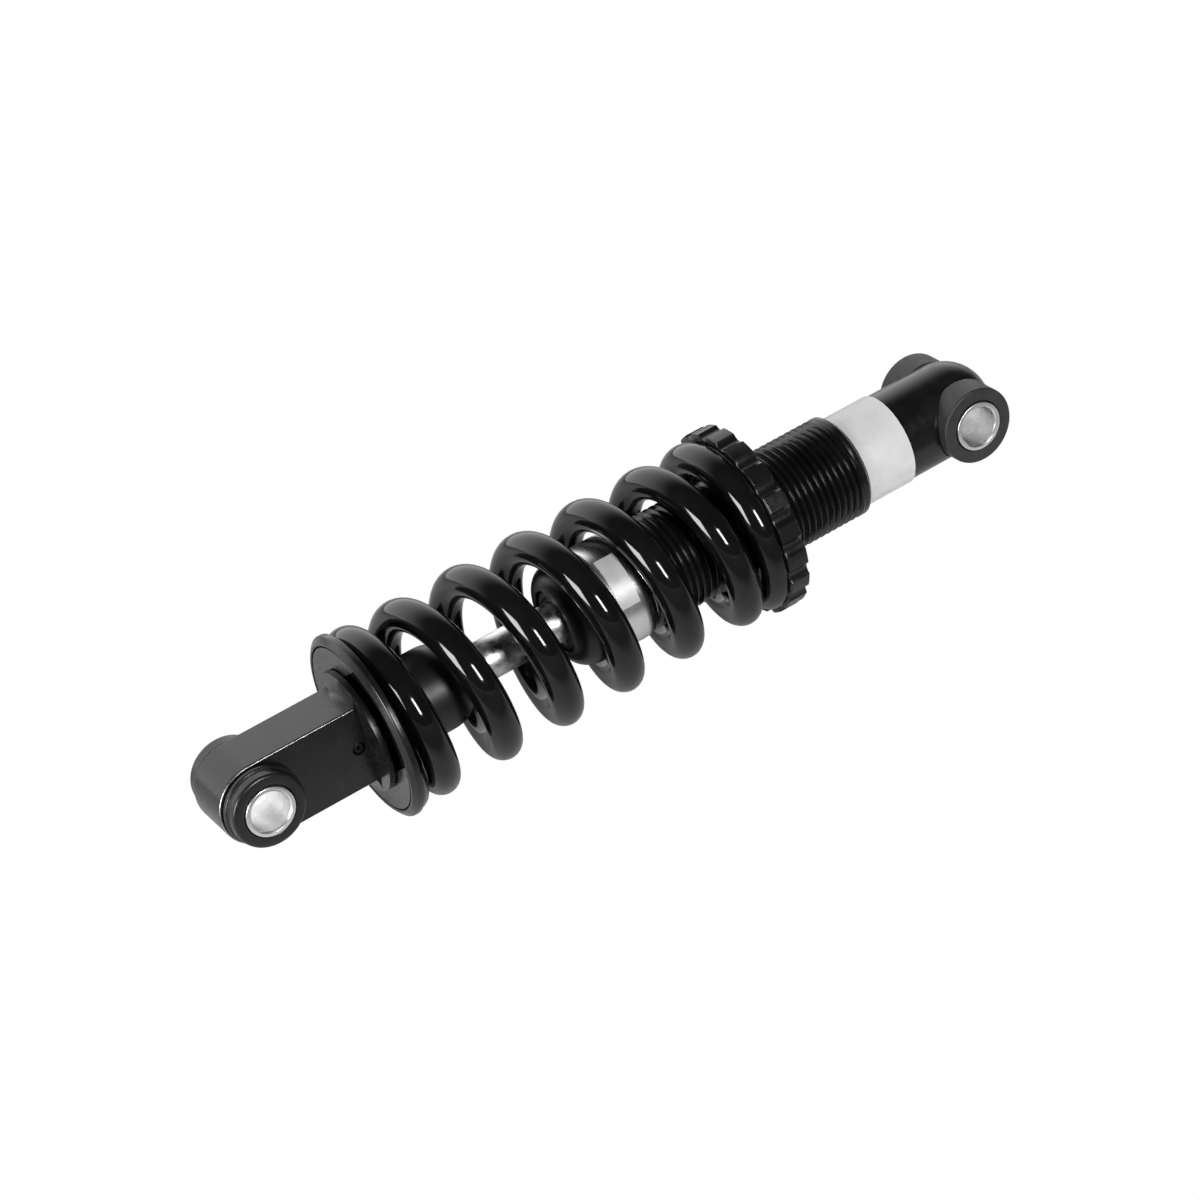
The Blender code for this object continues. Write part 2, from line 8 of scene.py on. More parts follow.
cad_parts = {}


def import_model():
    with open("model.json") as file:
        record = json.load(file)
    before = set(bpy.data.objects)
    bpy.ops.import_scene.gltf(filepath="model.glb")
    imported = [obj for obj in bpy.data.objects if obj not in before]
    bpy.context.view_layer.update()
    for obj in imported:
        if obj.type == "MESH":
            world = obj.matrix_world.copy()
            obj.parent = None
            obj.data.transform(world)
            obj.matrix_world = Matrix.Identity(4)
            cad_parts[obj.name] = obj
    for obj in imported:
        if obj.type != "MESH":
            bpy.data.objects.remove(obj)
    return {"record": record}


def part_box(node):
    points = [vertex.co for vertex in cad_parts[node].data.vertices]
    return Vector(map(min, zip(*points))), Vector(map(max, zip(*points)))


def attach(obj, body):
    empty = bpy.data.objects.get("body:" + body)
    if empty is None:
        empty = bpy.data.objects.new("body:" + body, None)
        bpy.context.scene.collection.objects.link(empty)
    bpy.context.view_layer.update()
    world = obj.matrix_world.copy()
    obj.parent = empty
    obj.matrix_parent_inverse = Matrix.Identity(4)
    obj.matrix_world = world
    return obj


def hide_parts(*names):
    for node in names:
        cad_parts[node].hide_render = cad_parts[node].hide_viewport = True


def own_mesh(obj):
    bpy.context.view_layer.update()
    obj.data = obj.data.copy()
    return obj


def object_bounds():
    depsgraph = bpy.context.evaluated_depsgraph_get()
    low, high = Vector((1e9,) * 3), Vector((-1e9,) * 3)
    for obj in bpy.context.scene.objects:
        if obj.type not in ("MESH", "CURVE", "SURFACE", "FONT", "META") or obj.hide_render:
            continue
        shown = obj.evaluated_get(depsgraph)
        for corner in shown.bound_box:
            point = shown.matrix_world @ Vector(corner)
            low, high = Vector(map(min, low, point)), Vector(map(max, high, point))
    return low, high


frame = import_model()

CAD_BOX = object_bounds()
MM = 0.001

# The shock lies along X. A station is a distance in millimetres from the lower eye's centre,
# towards the upper eye, and a radius is measured from the shock's axis.
MOUNTS = {mount["name"]: mount for mount in frame["record"]["mounts"]}
LOWER_EYE_X = MOUNTS["lower_sleeve_face_left"]["pos_m"][0]
UPPER_EYE_X = MOUNTS["upper_bolt"]["pos_m"][0]
EYE_TO_EYE = (UPPER_EYE_X - LOWER_EYE_X) / MM


def span(node, axis=0):
    """Lowest and highest place of a CAD node along an axis: stations along X, offsets along Y and Z."""
    low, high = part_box(node)
    shift = LOWER_EYE_X if axis == 0 else 0.0
    return (low[axis] - shift) / MM, (high[axis] - shift) / MM


def radius_of(node):
    """Outer radius about the shock's axis."""
    return span(node, 2)[1]


# ---------------------------------------------------------------- meshes

SMOOTH_ANGLE = math.radians(35)
WELD = 0.0000005
# A corner this near to straight, in radians, isn't rounded, and a rounding takes up to this
# share of each side of its corner.
NEARLY_STRAIGHT = 0.02
SHARE_OF_SIDE = 0.45
# In millimetres: how far out a cutter across the shock ends, and how far any other cutter
# reaches past its piece.
CUTTER_END = 20.0
CUTTER_MARGIN = 5.0
# The CAD model's clearance between neighbouring pieces, in millimetres.
GAP = 0.3


def new_object(name, mesh):
    piece = bpy.data.objects.new(name, mesh)
    bpy.context.scene.collection.objects.link(piece)
    return piece


def mesh_object(name, verts, faces):
    """An object from vertices in millimetres, welded, with its normals outwards."""
    mesh = bpy.data.meshes.new(name)
    mesh.from_pydata([Vector(v) * MM for v in verts], [], faces)
    solid = bmesh.new()
    solid.from_mesh(mesh)
    bmesh.ops.remove_doubles(solid, verts=solid.verts, dist=WELD)
    bmesh.ops.dissolve_degenerate(solid, edges=solid.edges, dist=WELD)
    bmesh.ops.recalc_face_normals(solid, faces=solid.faces)
    solid.to_mesh(mesh)
    solid.free()
    mesh.shade_smooth()
    mesh.set_sharp_from_angle(angle=SMOOTH_ANGLE)
    return new_object(name, mesh)


def weighted(piece):
    """Normals weighted by face area, so that a narrow rounding doesn't shade the flats beside it."""
    normals = piece.modifiers.new("normals", "WEIGHTED_NORMAL")
    normals.keep_sharp = True
    normals.weight = 100
    return piece


def apply_modifiers(piece):
    evaluated = piece.evaluated_get(bpy.context.evaluated_depsgraph_get())
    mesh = bpy.data.meshes.new_from_object(evaluated)
    piece.modifiers.clear()
    piece.data = mesh
    return piece


def rounded(profile, radii, steps=4):
    """A closed outline of (radius, station) points with its corners rounded by arcs.

    radii gives each corner's rounding, one for all or one each; 0 keeps the corner sharp."""
    count = len(profile)
    if not isinstance(radii, (list, tuple)):
        radii = [radii] * count
    result = []
    for i, (corner, radius) in enumerate(zip(profile, radii)):
        before = Vector(profile[i - 1]) - Vector(corner)
        after = Vector(profile[(i + 1) % count]) - Vector(corner)
        angle = before.angle(after)
        if radius <= 0.0 or abs(angle - math.pi) < NEARLY_STRAIGHT:
            result.append(tuple(corner))
            continue
        longest = SHARE_OF_SIDE * min(before.length, after.length)
        reach = min(radius / math.tan(angle / 2), longest)
        real = reach * math.tan(angle / 2)
        inward = (before.normalized() + after.normalized()).normalized()
        centre = Vector(corner) + inward * (real / math.sin(angle / 2))
        first = Vector(corner) + before.normalized() * reach - centre
        last = Vector(corner) + after.normalized() * reach - centre
        sweep = math.atan2(first.x * last.y - first.y * last.x, first.dot(last))
        for k in range(steps + 1):
            result.append(tuple(centre + Matrix.Rotation(sweep * k / steps, 2) @ first))
    return result


def arc(centre, reach, first, last, steps):
    """(radius, station) points on an ellipse about a centre, between two angles in degrees."""
    points = []
    for k in range(steps + 1):
        angle = math.radians(first + (last - first) * k / steps)
        points.append((centre[0] + reach[0] * math.cos(angle), centre[1] + reach[1] * math.sin(angle)))
    return points


def along_shock(radius, station, angle):
    """A point about the shock's axis. Angle 0 is at the top, and 90 degrees is at the right, -Y."""
    return (LOWER_EYE_X / MM + station, -radius * math.sin(angle), radius * math.cos(angle))


def about_bolt(centre_x, side=1.0):
    """Points about an eye's bolt: the station is measured out along +Y or -Y."""
    def place(radius, station, angle):
        return (centre_x / MM + radius * math.sin(angle), side * station, radius * math.cos(angle))
    return place


def lathed(name, rows, place, segments, closed=True):
    """A body whose rows run around an axis. A row gives its (radius, station) for an angle."""
    verts = []
    for row in rows:
        for j in range(segments):
            angle = 2 * math.pi * j / segments
            radius, station = row(angle)
            verts.append(place(radius, station, angle))
    faces = []
    for i in range(len(rows) if closed else len(rows) - 1):
        low, high = i * segments, (i + 1) % len(rows) * segments
        for j in range(segments):
            k = (j + 1) % segments
            faces.append((low + j, low + k, high + k, high + j))
    return weighted(mesh_object(name, verts, faces))


def turned(name, outline, place=along_shock, segments=128, closed=True):
    """A body of revolution. An outline that begins and ends on the axis isn't closed along it."""
    rows = [lambda angle, point=point: point for point in outline]
    return lathed(name, rows, place, segments, closed)


def ring(low, high, inner, outer):
    return [(outer, high), (outer, low), (inner, low), (inner, high)]


def cylinder(name, place, low, high, radius, segments=96):
    outline = [(0.0, low), (radius, low), (radius, high), (0.0, high)]
    return turned(name, outline, place, segments, False)


def cut(piece, cutter, operation="DIFFERENCE"):
    """Applies a Boolean and removes the cutter."""
    piece.modifiers.clear()
    cutter.modifiers.clear()
    boolean = piece.modifiers.new("cut", "BOOLEAN")
    boolean.solver = "EXACT"
    boolean.operation = operation
    boolean.object = cutter
    apply_modifiers(piece)
    bpy.data.objects.remove(cutter, do_unlink=True)
    return piece


def soften(piece, width, segments=3):
    """Rounds the square edges of a plain prism with a Bevel."""
    bevel = piece.modifiers.new("edges", "BEVEL")
    bevel.width = width * MM
    bevel.segments = segments
    bevel.limit_method = "ANGLE"
    bevel.angle_limit = math.radians(60)
    return apply_modifiers(piece)


def shaded(piece, angle=SMOOTH_ANGLE):
    """Smooth shading below an angle, after cuts."""
    piece.data.shade_smooth()
    piece.data.set_sharp_from_angle(angle=angle)
    return weighted(piece)


def place_piece(piece, material, body, slot, *nodes):
    """Gives a finished piece its material, its body and the CAD nodes that it stands for."""
    piece.data.materials.clear()
    piece.data.materials.append(material)
    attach(piece, body)
    if nodes:
        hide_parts(*nodes)
    return piece


# ---------------------------------------------------------------- materials

class Surface:
    """A material under construction: a Principled BSDF and helpers that add nodes to it."""

    def __init__(self, name, colour, metallic, roughness):
        self.material = bpy.data.materials.new(name)
        self.material.use_nodes = True
        self.nodes = self.material.node_tree.nodes
        self.links = self.material.node_tree.links
        self.shader = self.nodes["Principled BSDF"]
        self.shader.inputs["Base Color"].default_value = (*colour, 1.0)
        self.shader.inputs["Metallic"].default_value = metallic
        self.shader.inputs["Roughness"].default_value = roughness
        self.coordinates = self.nodes.new("ShaderNodeTexCoord").outputs["Object"]

    def link(self, output, node, name):
        self.links.new(output, node.inputs[name])

    def noise(self, size, detail=2.0, roughness=0.5, vector=None):
        """Noise whose largest features are about a size in millimetres."""
        node = self.nodes.new("ShaderNodeTexNoise")
        node.inputs["Scale"].default_value = 1.0 / (size * MM)
        node.inputs["Detail"].default_value = detail
        node.inputs["Roughness"].default_value = roughness
        self.link(vector or self.coordinates, node, "Vector")
        return node.outputs["Fac"]

    def lathe(self, axis, centre=(0.0, 0.0, 0.0)):
        """(distance from an axis, distance along it, 0). Turning marks follow these."""
        shifted = self.nodes.new("ShaderNodeVectorMath")
        shifted.operation = "SUBTRACT"
        shifted.inputs[1].default_value = centre
        self.link(self.coordinates, shifted, 0)
        across = self.nodes.new("ShaderNodeVectorMath")
        across.operation = "MULTIPLY"
        across.inputs[1].default_value = [0.0 if i == axis else 1.0 for i in range(3)]
        self.link(shifted.outputs["Vector"], across, 0)
        distance = self.nodes.new("ShaderNodeVectorMath")
        distance.operation = "LENGTH"
        self.link(across.outputs["Vector"], distance, 0)
        split = self.nodes.new("ShaderNodeSeparateXYZ")
        self.link(shifted.outputs["Vector"], split, "Vector")
        joined = self.nodes.new("ShaderNodeCombineXYZ")
        self.link(distance.outputs["Value"], joined, "X")
        self.link(split.outputs["XYZ"[axis]], joined, "Y")
        return joined.outputs["Vector"]

    def coloured(self, value, dark, light, start=0.35, end=0.65):
        """Base colour from dark to light as a noise value goes from start to end."""
        ramp = self.nodes.new("ShaderNodeValToRGB")
        ramp.color_ramp.elements[0].position = start
        ramp.color_ramp.elements[0].color = (*dark, 1.0)
        ramp.color_ramp.elements[1].position = end
        ramp.color_ramp.elements[1].color = (*light, 1.0)
        self.link(value, ramp, "Fac")
        self.link(ramp.outputs["Color"], self.shader, "Base Color")

    def rough(self, value, low, high):
        """Roughness from low to high over the middle of a noise value's range."""
        node = self.nodes.new("ShaderNodeMapRange")
        node.inputs["From Min"].default_value = 0.3
        node.inputs["From Max"].default_value = 0.7
        node.inputs["To Min"].default_value = low
        node.inputs["To Max"].default_value = high
        self.link(value, node, "Value")
        self.link(node.outputs["Result"], self.shader, "Roughness")

    def bump(self, heights):
        """Adds bumps, each (value, height in millimetres), one on top of another."""
        normal = None
        for value, height in heights:
            node = self.nodes.new("ShaderNodeBump")
            node.inputs["Strength"].default_value = 1.0
            node.inputs["Distance"].default_value = height * MM
            self.link(value, node, "Height")
            if normal:
                self.link(normal, node, "Normal")
            normal = node.outputs["Normal"]
        self.link(normal, self.shader, "Normal")


def powder_coat():
    """Gloss black powder coat, with a faint orange peel."""
    surface = Surface("gloss_black_powder_coat", (0.004, 0.004, 0.004), 0.0, 0.12)
    surface.coloured(surface.noise(6.0), (0.0030, 0.0030, 0.0032), (0.0055, 0.0055, 0.0058))
    surface.rough(surface.noise(3.0, 3.0), 0.05, 0.10)
    surface.bump([(surface.noise(1.6, 1.0), 0.004), (surface.noise(0.25, 1.0), 0.0004)])
    return surface.material


def satin_black(name, roughness, grain):
    """Satin black metal: hard anodising or baked paint over a finely blasted surface."""
    surface = Surface(name, (0.006, 0.006, 0.006), 0.0, roughness)
    surface.coloured(surface.noise(4.0, 4.0), (0.0045, 0.0045, 0.0048), (0.009, 0.009, 0.0094))
    surface.rough(surface.noise(1.2, 4.0), roughness - 0.04, roughness + 0.06)
    surface.bump([(surface.noise(0.35, 3.0), grain), (surface.noise(4.0, 2.0), grain)])
    return surface.material


def nylon(name, dark, light, roughness):
    """Moulded black nylon, with flow variation and a fine texture."""
    surface = Surface(name, (dark, dark, dark), 0.0, roughness)
    blue = 1.03
    surface.coloured(surface.noise(3.0, 5.0), (dark, dark, dark * blue), (light, light, light * blue))
    surface.rough(surface.noise(0.8, 4.0), roughness - 0.06, roughness + 0.08)
    surface.bump([(surface.noise(0.45, 3.0), 0.004), (surface.noise(3.0, 2.0), 0.006)])
    return surface.material


def rubber():
    """Moulded black rubber, matte, with a bloom in patches."""
    surface = Surface("black_rubber", (0.008, 0.008, 0.008), 0.0, 0.36)
    surface.coloured(surface.noise(5.0, 5.0), (0.006, 0.006, 0.0062), (0.013, 0.013, 0.0134))
    surface.rough(surface.noise(1.5, 4.0), 0.32, 0.42)
    surface.bump([(surface.noise(0.5, 3.0), 0.004), (surface.noise(3.5, 2.0), 0.008)])
    return surface.material


def metal(name, colour, axis, centre, mark, roughness, marks_height, variation=0.06):
    """Turned bare metal: fine rings from the tool about an axis, and patchy polish."""
    surface = Surface(name, colour, 1.0, roughness)
    rings = surface.noise(mark, 3.0, 0.6, surface.lathe(axis, centre))
    dark = [c * (1.0 - variation) for c in colour]
    light = [min(1.0, c * (1.0 + variation)) for c in colour]
    surface.coloured(surface.noise(2.5, 4.0), dark, light)
    surface.rough(rings, roughness * 0.75, roughness * 1.3)
    surface.bump([(rings, marks_height), (surface.noise(1.5, 3.0), marks_height * 0.6)])
    return surface.material


def hard_chrome():
    """Ground and chromed rod: fine rings, and a mottled polish that breaks up what it mirrors."""
    surface = Surface("hard_chrome", (0.82, 0.82, 0.83), 1.0, 0.2)
    rings = surface.noise(0.12, 3.0, 0.6, surface.lathe(0))
    mottle = surface.noise(2.2, 6.0, 0.65)
    surface.coloured(mottle, (0.55, 0.55, 0.57), (0.90, 0.90, 0.90), 0.38, 0.60)
    surface.rough(mottle, 0.20, 0.44)
    surface.bump([(rings, 0.0005), (surface.noise(1.6, 5.0), 0.02)])
    return surface.material


def film(name, colour, metallic):
    """Blank label film, slightly glossy, with faint waves in it."""
    surface = Surface(name, (colour, colour, colour), metallic, 0.30)
    surface.coloured(surface.noise(5.0, 3.0), [colour * 0.94] * 3, [colour * 1.05] * 3)
    surface.rough(surface.noise(2.0, 3.0), 0.26, 0.38)
    surface.bump([(surface.noise(3.0, 2.0), 0.02), (surface.noise(0.4, 2.0), 0.001)])
    return surface.material


UPPER_CENTRE = (UPPER_EYE_X, 0.0, 0.0)
LOWER_CENTRE = (LOWER_EYE_X, 0.0, 0.0)

GLOSS = powder_coat()
SATIN = satin_black("satin_black_metal", 0.23, 0.0030)
MATTE = satin_black("matte_black_metal", 0.34, 0.0030)
ANODISED = satin_black("black_anodised_metal", 0.20, 0.0008)
UPPER_NYLON = nylon("dull_black_nylon", 0.022, 0.034, 0.48)
LOWER_NYLON = nylon("black_nylon", 0.007, 0.013, 0.30)
RUBBER = rubber()
CHROME = hard_chrome()
ZINC_COLOUR = (0.88, 0.88, 0.88)
# Each metal: colour, axis of its turning marks and a point on it, their size in millimetres,
# roughness, their height in millimetres, and how much the colour varies.
POLISHED = metal("polished_aluminium", (0.90, 0.90, 0.91), 0, UPPER_CENTRE, 0.12, 0.24, 0.0004, 0.03)
# Worn bare metal, also a painted highlight: this lighter metal on the lower eye's edges stands in for the
# light that the edges catch.
WORN_AND_HIGHLIGHT = metal("worn_edge_and_painted_highlight", (0.30, 0.30, 0.31), 0, UPPER_CENTRE, 0.6, 0.36, 0.0020, 0.3)
STEEL = metal("plain_steel", (0.50, 0.50, 0.51), 0, UPPER_CENTRE, 0.15, 0.30, 0.0015)
BRONZE = metal("sintered_bronze", (0.55, 0.38, 0.20), 0, UPPER_CENTRE, 0.20, 0.38, 0.0015)
UPPER_ZINC = metal("bright_zinc_upper", ZINC_COLOUR, 1, UPPER_CENTRE, 0.30, 0.32, 0.0030)
LOWER_ZINC = metal("bright_zinc_lower", ZINC_COLOUR, 1, LOWER_CENTRE, 0.30, 0.32, 0.0030)
WHITE_FILM = film("white_film", 0.78, 0.0)
SILVER_FILM = film("silver_film", 0.82, 0.25)


# ---------------------------------------------------------------- damper

THREAD_PITCH = 1.5
THREAD_DEPTH = 0.92
# The thread fades out over one pitch divided by this.
THREAD_FADE = 1.4
# One pitch of the thread as (share of the pitch, share of the depth).
THREAD_FORM = (
    (0.0, 0.10), (0.04, 0.0), (0.11, 0.0), (0.15, 0.10), (0.47, 0.95), (0.56, 1.0), (0.65, 0.95),
)
# The hole across each eye for its bushes and sleeve.
EYE_HOLE = 6.3


def threaded_rows(low, high, radius, segments):
    """Rows of points that follow a right-hand thread, fading out at both ends."""
    turns = math.ceil((high - low) / THREAD_PITCH) + 2
    rows = []
    for i in range(turns * len(THREAD_FORM)):
        share, depth = THREAD_FORM[i % len(THREAD_FORM)]
        start = low + (i // len(THREAD_FORM) - 1 + share) * THREAD_PITCH
        row = []
        for j in range(segments + 1):
            station = start + THREAD_PITCH * j / segments
            from_end = min(station - low, high - station) / THREAD_PITCH
            fade = max(0.0, min(1.0, from_end * THREAD_FADE))
            row.append((radius - THREAD_DEPTH * depth * fade, max(low, min(high, station))))
        rows.append(row)
    return rows


def damper_body():
    """The domed upper eye, the smooth neck, the thread, and the open end for the gland cap."""
    segments = 112
    low, high = span("damper_body")
    thread_end = span("body_label")[0] - 0.4
    radius = span("damper_body", 1)[1]
    neck = high - EYE_TO_EYE
    bore = radius_of("inner_tube") + GAP
    bore_end = span("inner_tube")[1] + GAP
    bore_tip = bore_end + 1.7
    chamfer = 0.55
    ridges_end = thread_end - 1.3
    small = 0.2
    fillet = 0.25

    def plain(point):
        return [point] * (segments + 1)

    outside = arc((0.0, EYE_TO_EYE), (neck, neck), 90, 0, 20)
    outside += [(neck, thread_end + fillet), (neck + fillet, thread_end)]
    outside += [(radius - chamfer, thread_end), (radius, thread_end - chamfer), (radius, ridges_end)]
    inside = [(radius, low + chamfer), (radius - chamfer, low), (bore + small, low), (bore, low + small)]
    inside += [(bore, bore_end), (0.0, bore_tip)]
    rows = [plain(point) for point in outside]
    rows += threaded_rows(low + chamfer, ridges_end, radius, segments)[::-1]
    rows += [plain(point) for point in inside]
    verts = []
    for row in rows:
        for j, (r, station) in enumerate(row):
            verts.append(along_shock(r, station, 2 * math.pi * j / segments))
    faces = []
    for i in range(len(rows) - 1):
        a = i * (segments + 1)
        b = a + segments + 1
        for j in range(segments):
            faces.append((a + j, a + j + 1, b + j + 1, b + j))
    body = mesh_object("damper_body_threaded", verts, faces)
    cut(body, cylinder("bore_cutter", about_bolt(UPPER_EYE_X), -CUTTER_END, CUTTER_END, EYE_HOLE))
    seat_face = 5.2
    seat_radius = span("upper_bush_left", 2)[1] + 0.25
    for side in (1.0, -1.0):
        eye = about_bolt(UPPER_EYE_X, side)
        cut(body, cylinder("seat_cutter", eye, seat_face, CUTTER_END, seat_radius))
    shaded(body)
    place_piece(body, ANODISED, "damper", "satin_black", "damper_body")


def body_label():
    """The band and its seam: the end of the film laps over its start at the lower right."""
    low, high = span("body_label")
    outer = radius_of("body_label")
    inner = outer - 0.25
    lap = 0.11
    lap_start, lap_end = math.radians(118), math.radians(139)

    def swollen(point):
        on_outside = point[0] > inner + 0.05

        def row(angle):
            raised = lap if on_outside and lap_start < angle < lap_end else 0.0
            return (point[0] + raised, point[1])
        return row

    outline = rounded(ring(low, high, inner, outer - lap), 0.05, 2)
    label = lathed("blank_body_label", [swollen(point) for point in outline], along_shock, 240)
    place_piece(label, WHITE_FILM, "damper", "white_film", "body_label")


# The bushes' spigots, inside the eyes, and the clearance around the sleeves.
SPIGOT = 6.0
BUSH_CLEARANCE = 0.25


def upper_bush_outline(radius, foot, face, bore):
    """A plain flange on a spigot, with each corner's rounding."""
    flange = 5.5
    outline = [(radius, face), (radius, flange), (SPIGOT, flange), (SPIGOT, foot), (bore, foot)]
    outline += [(bore, face)]
    return rounded(outline, [0.45, 0.25, 0.0, 0.2, 0.1, 0.15])


def lower_bush_outline(radius, foot, face, bore):
    """A flange with a step down to a smaller face, on a spigot."""
    flange = 6.0
    rim_end = 6.95
    step_end = 7.25
    step = 0.45
    outline = [(radius - step, face), (radius - step, step_end), (radius, rim_end), (radius, flange)]
    outline += [(SPIGOT, flange), (SPIGOT, foot), (bore, foot), (bore, face)]
    return rounded(outline, [0.7, 0.15, 0.35, 0.25, 0.0, 0.2, 0.1, 0.15])


# Each eye: its name, its place along X, the body that it is part of, its bushes' shape and
# material, and its sleeve's material.
EYES = (
    ("upper", UPPER_EYE_X, "damper", upper_bush_outline, UPPER_NYLON, UPPER_ZINC),
    ("lower", LOWER_EYE_X, "shaft_assembly", lower_bush_outline, LOWER_NYLON, LOWER_ZINC),
)


def bushes():
    for side_name, side in (("left", 1.0), ("right", -1.0)):
        for eye, centre, body, outline_of, nylon_used, _ in EYES:
            node = f"{eye}_bush_{side_name}"
            offsets = [abs(v) for v in span(node, 1)]
            radius = span(node, 2)[1]
            bore = span(f"{eye}_sleeve", 2)[1] + BUSH_CLEARANCE
            outline = outline_of(radius, min(offsets), max(offsets), bore)
            piece = turned(node + "_moulded", outline, about_bolt(centre, side))
            place_piece(piece, nylon_used, body, "black_nylon", node)


def sleeves():
    """Tubes for 8 mm bolts, with chamfered mouths."""
    bore = 4.1
    mouth = 0.35
    for eye, centre, _, _, _, zinc_used in EYES:
        node = eye + "_sleeve"
        face = span(node, 1)[1]
        outer = span(node, 2)[1]
        outline = [(outer, face), (outer, -face), (bore + mouth, -face), (bore, -face + mouth)]
        outline += [(bore, face - mouth), (bore + mouth, face)]
        outline = rounded(outline, [0.18, 0.18, 0.06, 0.1, 0.1, 0.06])
        piece = turned(node + "_turned", outline, about_bolt(centre))
        place_piece(piece, zinc_used, node, "bright_steel", node)


def gland_cap():
    """The domed end cap, with a recess for the wiper seal."""
    low, high = span("gland_cap")
    radius = radius_of("gland_cap")
    face = 7.2
    dome = 5.1
    recess = 6.7
    recess_end = low + 3.1
    chamfer = 0.12
    bore = 4.6
    outline = [(radius, high)]
    outline += arc((face, low + dome), (radius - face, -dome), 0, 90, 20)
    outline += [(recess + chamfer, low), (recess, low + chamfer), (recess, recess_end)]
    outline += [(bore, recess_end), (bore, high)]
    place_piece(turned("gland_cap_domed", outline), MATTE, "damper", "satin_black", "gland_cap")


# The seals' lips come within 0.1 mm of the shaft, and the rest of their bore is clear of it.
SEAL_LIP = 4.3
SEAL_BORE = 4.6


def wiper_seal():
    """A scraper: its lip points out of the gland cap."""
    low, high = span("wiper_seal")
    outer = 6.4
    face_outer, face_inner = 6.0, 5.1
    groove = 4.75
    outline = [(outer, high), (outer, low + 0.35), (face_outer, low), (face_inner, low)]
    outline += [(groove, low + 0.5), (SEAL_LIP, low + 0.25), (SEAL_LIP, low + 0.55)]
    outline += [(SEAL_BORE, low + 1.2), (SEAL_BORE, high)]
    roundings = [0.1, 0.2, 0.2, 0.15, 0.15, 0.05, 0.05, 0.1, 0.1]
    piece = turned("wiper_seal_lipped", rounded(outline, roundings, 3))
    place_piece(piece, RUBBER, "damper", "black_rubber", "wiper_seal")


def shaft_seal():
    """An oil seal with a pocket behind its lip."""
    low, high = span("shaft_seal")
    outer = 6.7
    pocket_outer, pocket_inner = 5.6, 4.9
    pocket_end = low + 1.2
    outline = [(outer, high), (outer, low), (pocket_outer, low), (pocket_outer, pocket_end)]
    outline += [(pocket_inner, pocket_end), (SEAL_LIP, low + 0.5), (SEAL_LIP, low + 0.9)]
    outline += [(SEAL_BORE, low + 1.6), (SEAL_BORE, high)]
    piece = turned("shaft_seal_lipped", rounded(outline, 0.12, 3), segments=96)
    place_piece(piece, RUBBER, "damper", "black_rubber", "shaft_seal")


def head_o_ring():
    middle = sum(span("head_o_ring")) / 2
    cord = 0.5
    centre = radius_of("head_o_ring") - cord
    outline = arc((centre, middle), (cord, -cord), 0, 360, 20)[:-1]
    piece = turned("head_o_ring_round", outline, segments=96)
    place_piece(piece, RUBBER, "damper", "black_rubber", "head_o_ring")


def head_housing():
    """The damper's bright head, its groove for the O-ring, and the seats of its seals and bush."""
    low, back = span("head_housing")
    radius = radius_of("head_housing")
    tube = radius_of("inner_tube")
    shoulder = 87.2
    edge = (1.0, 3.3)
    groove = 7.15
    groove_start, groove_end = 88.9, 90.5
    seal_seat = 7.0
    seal_seat_end = 82.0
    bush_seat = 6.0
    small = 0.2
    chamfer = 0.25
    outline = [(tube - small, back), (tube, back - small), (tube, groove_end), (groove, groove_end)]
    outline += [(groove, groove_start), (tube, groove_start), (tube, shoulder)]
    outline += arc((radius - edge[0], shoulder - edge[1]), edge, 90, 0, 12)
    outline += [(radius, low + chamfer), (radius - chamfer, low), (seal_seat, low)]
    outline += [(seal_seat, seal_seat_end), (bush_seat, seal_seat_end), (bush_seat, back)]
    piece = turned("head_housing_turned", outline)
    place_piece(piece, POLISHED, "damper", "polished_aluminium", "head_housing")


def head_label():
    """A patch of film on the upper right of the head."""
    low, high = span("head_label")
    outer = 11.55
    thickness = 0.13
    steps = 40
    first, last = math.radians(22.5), math.radians(78.75)
    profile = rounded(ring(low, high, outer - thickness, outer), 0.04, 2)
    verts, faces = [], []
    for i in range(steps + 1):
        angle = first + (last - first) * i / steps
        verts += [along_shock(radius, station, angle) for radius, station in profile]
    count = len(profile)
    for i in range(steps):
        for k in range(count):
            m = (k + 1) % count
            faces.append((i * count + k, i * count + m, (i + 1) * count + m, (i + 1) * count + k))
    faces.append(tuple(range(count)))
    faces.append(tuple(range(steps * count, (steps + 1) * count)))
    patch = weighted(mesh_object("blank_head_label", verts, faces))
    place_piece(patch, SILVER_FILM, "damper", "white_film", "head_label")


def inner_damper_pieces():
    """The bush that guides the shaft, and the tube that the piston runs in."""
    bush_bore = 4.35
    tube_bore = 7.6
    low, high = span("guide_bush")
    outline = rounded(ring(low, high, bush_bore, radius_of("guide_bush")), 0.25)
    piece = turned("guide_bush_sintered", outline, segments=96)
    place_piece(piece, BRONZE, "damper", "bronze", "guide_bush")
    low, high = span("inner_tube")
    outline = rounded(ring(low, high, tube_bore, radius_of("inner_tube")), 0.15, 2)
    piece = turned("inner_tube_honed", outline)
    place_piece(piece, STEEL, "damper", "plain_steel", "inner_tube")


# ---------------------------------------------------------------- shaft assembly

